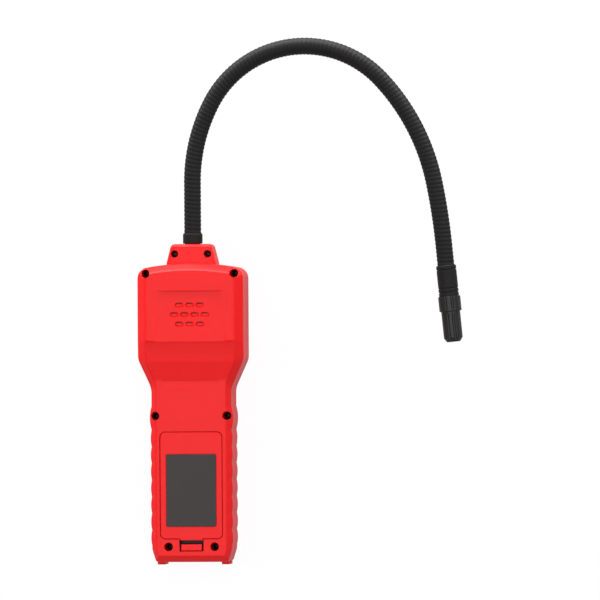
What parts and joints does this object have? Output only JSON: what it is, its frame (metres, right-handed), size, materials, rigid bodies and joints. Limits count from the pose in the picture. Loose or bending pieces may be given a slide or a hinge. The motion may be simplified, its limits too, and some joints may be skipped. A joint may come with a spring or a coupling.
{
  "type": "refrigerant leak detector",
  "caption": "Handheld refrigerant leak detector: red two-part plastic housing with battery door and sound outlet, and a black bendable neck ending in a fluted sensor cap",
  "frame": {"origin": "on the flat front face of the grip, which the tool rests on, on the middle plane and 45 mm from the butt end", "axes": "+Z out of the rear face; +Y along the housing from the grip to the neck; +X to the right seen from behind with the neck up"},
  "size_m": [0.1876, 0.3052, 0.0395],
  "materials": {
    "red_abs": "satin",
    "black_plastic": "satin",
    "neck_sheath": "satin",
    "dark_panel": "satin",
    "zinc_steel": "satin",
    "key_plastic": "matte",
    "smoked_window": "gloss",
    "board": "satin",
    "cell_jacket": "satin",
    "nickel": "satin"
  },
  "bodies": {
    "housing": {"neck_length_0": "neck_sheath", "neck_flex_1": "neck_sheath", "butt_screw_left": "zinc_steel", "butt_screw_right": "zinc_steel", "cell_lower_left": "cell_jacket", "cell_lower_right": "cell_jacket", "cell_upper_left": "cell_jacket", "cell_upper_right": "cell_jacket", "collar_screw_left": "zinc_steel", "collar_screw_right": "zinc_steel", "contact_foot_left": "nickel", "contact_foot_right": "nickel", "contact_head_left": "nickel", "contact_head_right": "nickel", "front_case": "red_abs", "level_window": "smoked_window", "main_board": "board", "minus_switch": "black_plastic", "mute_switch": "black_plastic", "neck_base_ferrule": "black_plastic", "plus_switch": "black_plastic", "power_switch": "black_plastic", "rear_case": "red_abs", "shoulder_screw_left": "zinc_steel", "shoulder_screw_right": "zinc_steel", "speaker": "black_plastic", "waist_screw_left": "zinc_steel", "waist_screw_right": "zinc_steel"},
    "neck_1": {"neck_length_1": "neck_sheath", "neck_flex_2": "neck_sheath"},
    "neck_2": {"neck_length_2": "neck_sheath", "neck_flex_3": "neck_sheath"},
    "neck_3": {"neck_length_3": "neck_sheath", "neck_flex_4": "neck_sheath"},
    "neck_4": {"neck_length_4": "neck_sheath", "neck_flex_5": "neck_sheath"},
    "neck_5": {"neck_length_5": "neck_sheath", "neck_flex_6": "neck_sheath"},
    "neck_6": {"neck_length_6": "neck_sheath", "neck_flex_7": "neck_sheath"},
    "neck_7": {"neck_length_7": "neck_sheath", "neck_flex_8": "neck_sheath"},
    "neck_8": {"neck_length_8": "neck_sheath", "neck_flex_9": "neck_sheath"},
    "neck_9": {"neck_length_9": "neck_sheath", "tip_ferrule": "black_plastic", "sensor_socket": "black_plastic", "sensor_element": "nickel"},
    "cap": {"sensor_cap": "black_plastic"},
    "door": {"battery_door": "red_abs", "rear_label": "dark_panel"},
    "minus_key_body": {"minus_key": "key_plastic"},
    "plus_key_body": {"plus_key": "key_plastic"},
    "power_key_body": {"power_key": "key_plastic"},
    "mute_key_body": {"mute_key": "key_plastic"}
  },
  "joints": [
    {"name": "neck_bend_1", "type": "hinge", "parent": "housing", "child": "neck_1", "pos_m": [0, 0.16286, 0.0175], "axis": [0, 0, -1], "range_deg": [-36, 10], "deforming": ["neck_flex_1"]},
    {"name": "neck_tilt_1", "type": "hinge", "parent": "neck_1", "child": "neck_2", "pos_m": [0.00249, 0.19718, 0.0175], "axis": [0.9748, -0.2231, 0], "range_deg": [-30, 30], "deforming": ["neck_flex_2"]},
    {"name": "neck_bend_2", "type": "hinge", "parent": "neck_2", "child": "neck_3", "pos_m": [0.01607, 0.22867, 0.0175], "axis": [0, 0, -1], "range_deg": [-36, 10], "deforming": ["neck_flex_3"]},
    {"name": "neck_tilt_2", "type": "hinge", "parent": "neck_3", "child": "neck_4", "pos_m": [0.04306, 0.24944, 0.0175], "axis": [-0.3645, 0.9312, 0], "range_deg": [-30, 30], "deforming": ["neck_flex_4"]},
    {"name": "neck_bend_3", "type": "hinge", "parent": "neck_4", "child": "neck_5", "pos_m": [0.07697, 0.25251, 0.0175], "axis": [0, 0, -1], "range_deg": [-36, 10], "deforming": ["neck_flex_5"]},
    {"name": "neck_tilt_3", "type": "hinge", "parent": "neck_5", "child": "neck_6", "pos_m": [0.10725, 0.23692, 0.0175], "axis": [-0.6876, -0.7261, 0], "range_deg": [-30, 30], "deforming": ["neck_flex_6"]},
    {"name": "neck_bend_4", "type": "hinge", "parent": "neck_6", "child": "neck_7", "pos_m": [0.12788, 0.20941, 0.0175], "axis": [0, 0, -1], "range_deg": [-36, 10], "deforming": ["neck_flex_7"]},
    {"name": "neck_tilt_4", "type": "hinge", "parent": "neck_7", "child": "neck_8", "pos_m": [0.14008, 0.17725, 0.0175], "axis": [0.9752, 0.2212, 0], "range_deg": [-30, 30], "deforming": ["neck_flex_8"]},
    {"name": "neck_bend_5", "type": "hinge", "parent": "neck_8", "child": "neck_9", "pos_m": [0.14561, 0.14319, 0.0175], "axis": [0, 0, -1], "range_deg": [-36, 10], "deforming": ["neck_flex_9"]},
    {"name": "cap_slide", "type": "slide", "parent": "neck_9", "child": "cap", "axis": [0.0958, -0.9954, 0], "range_m": [0, 0.02]},
    {"name": "door_hinge", "type": "hinge", "parent": "housing", "child": "door", "pos_m": [0, 0.03045, 0.035], "axis": [-1, 0, 0], "range_deg": [0, 65]},
    {"name": "minus_key_press", "type": "slide", "parent": "housing", "child": "minus_key_body", "axis": [0, 0, 1], "range_m": [0, 0.0006], "stiffness_N_per_m": 1500, "springref_m": -0.0006},
    {"name": "plus_key_press", "type": "slide", "parent": "housing", "child": "plus_key_body", "axis": [0, 0, 1], "range_m": [0, 0.0006], "stiffness_N_per_m": 1500, "springref_m": -0.0006},
    {"name": "power_key_press", "type": "slide", "parent": "housing", "child": "power_key_body", "axis": [0, 0, 1], "range_m": [0, 0.0006], "stiffness_N_per_m": 1500, "springref_m": -0.0006},
    {"name": "mute_key_press", "type": "slide", "parent": "housing", "child": "mute_key_body", "axis": [0, 0, 1], "range_m": [0, 0.0006], "stiffness_N_per_m": 1500, "springref_m": -0.0006}
  ]
}
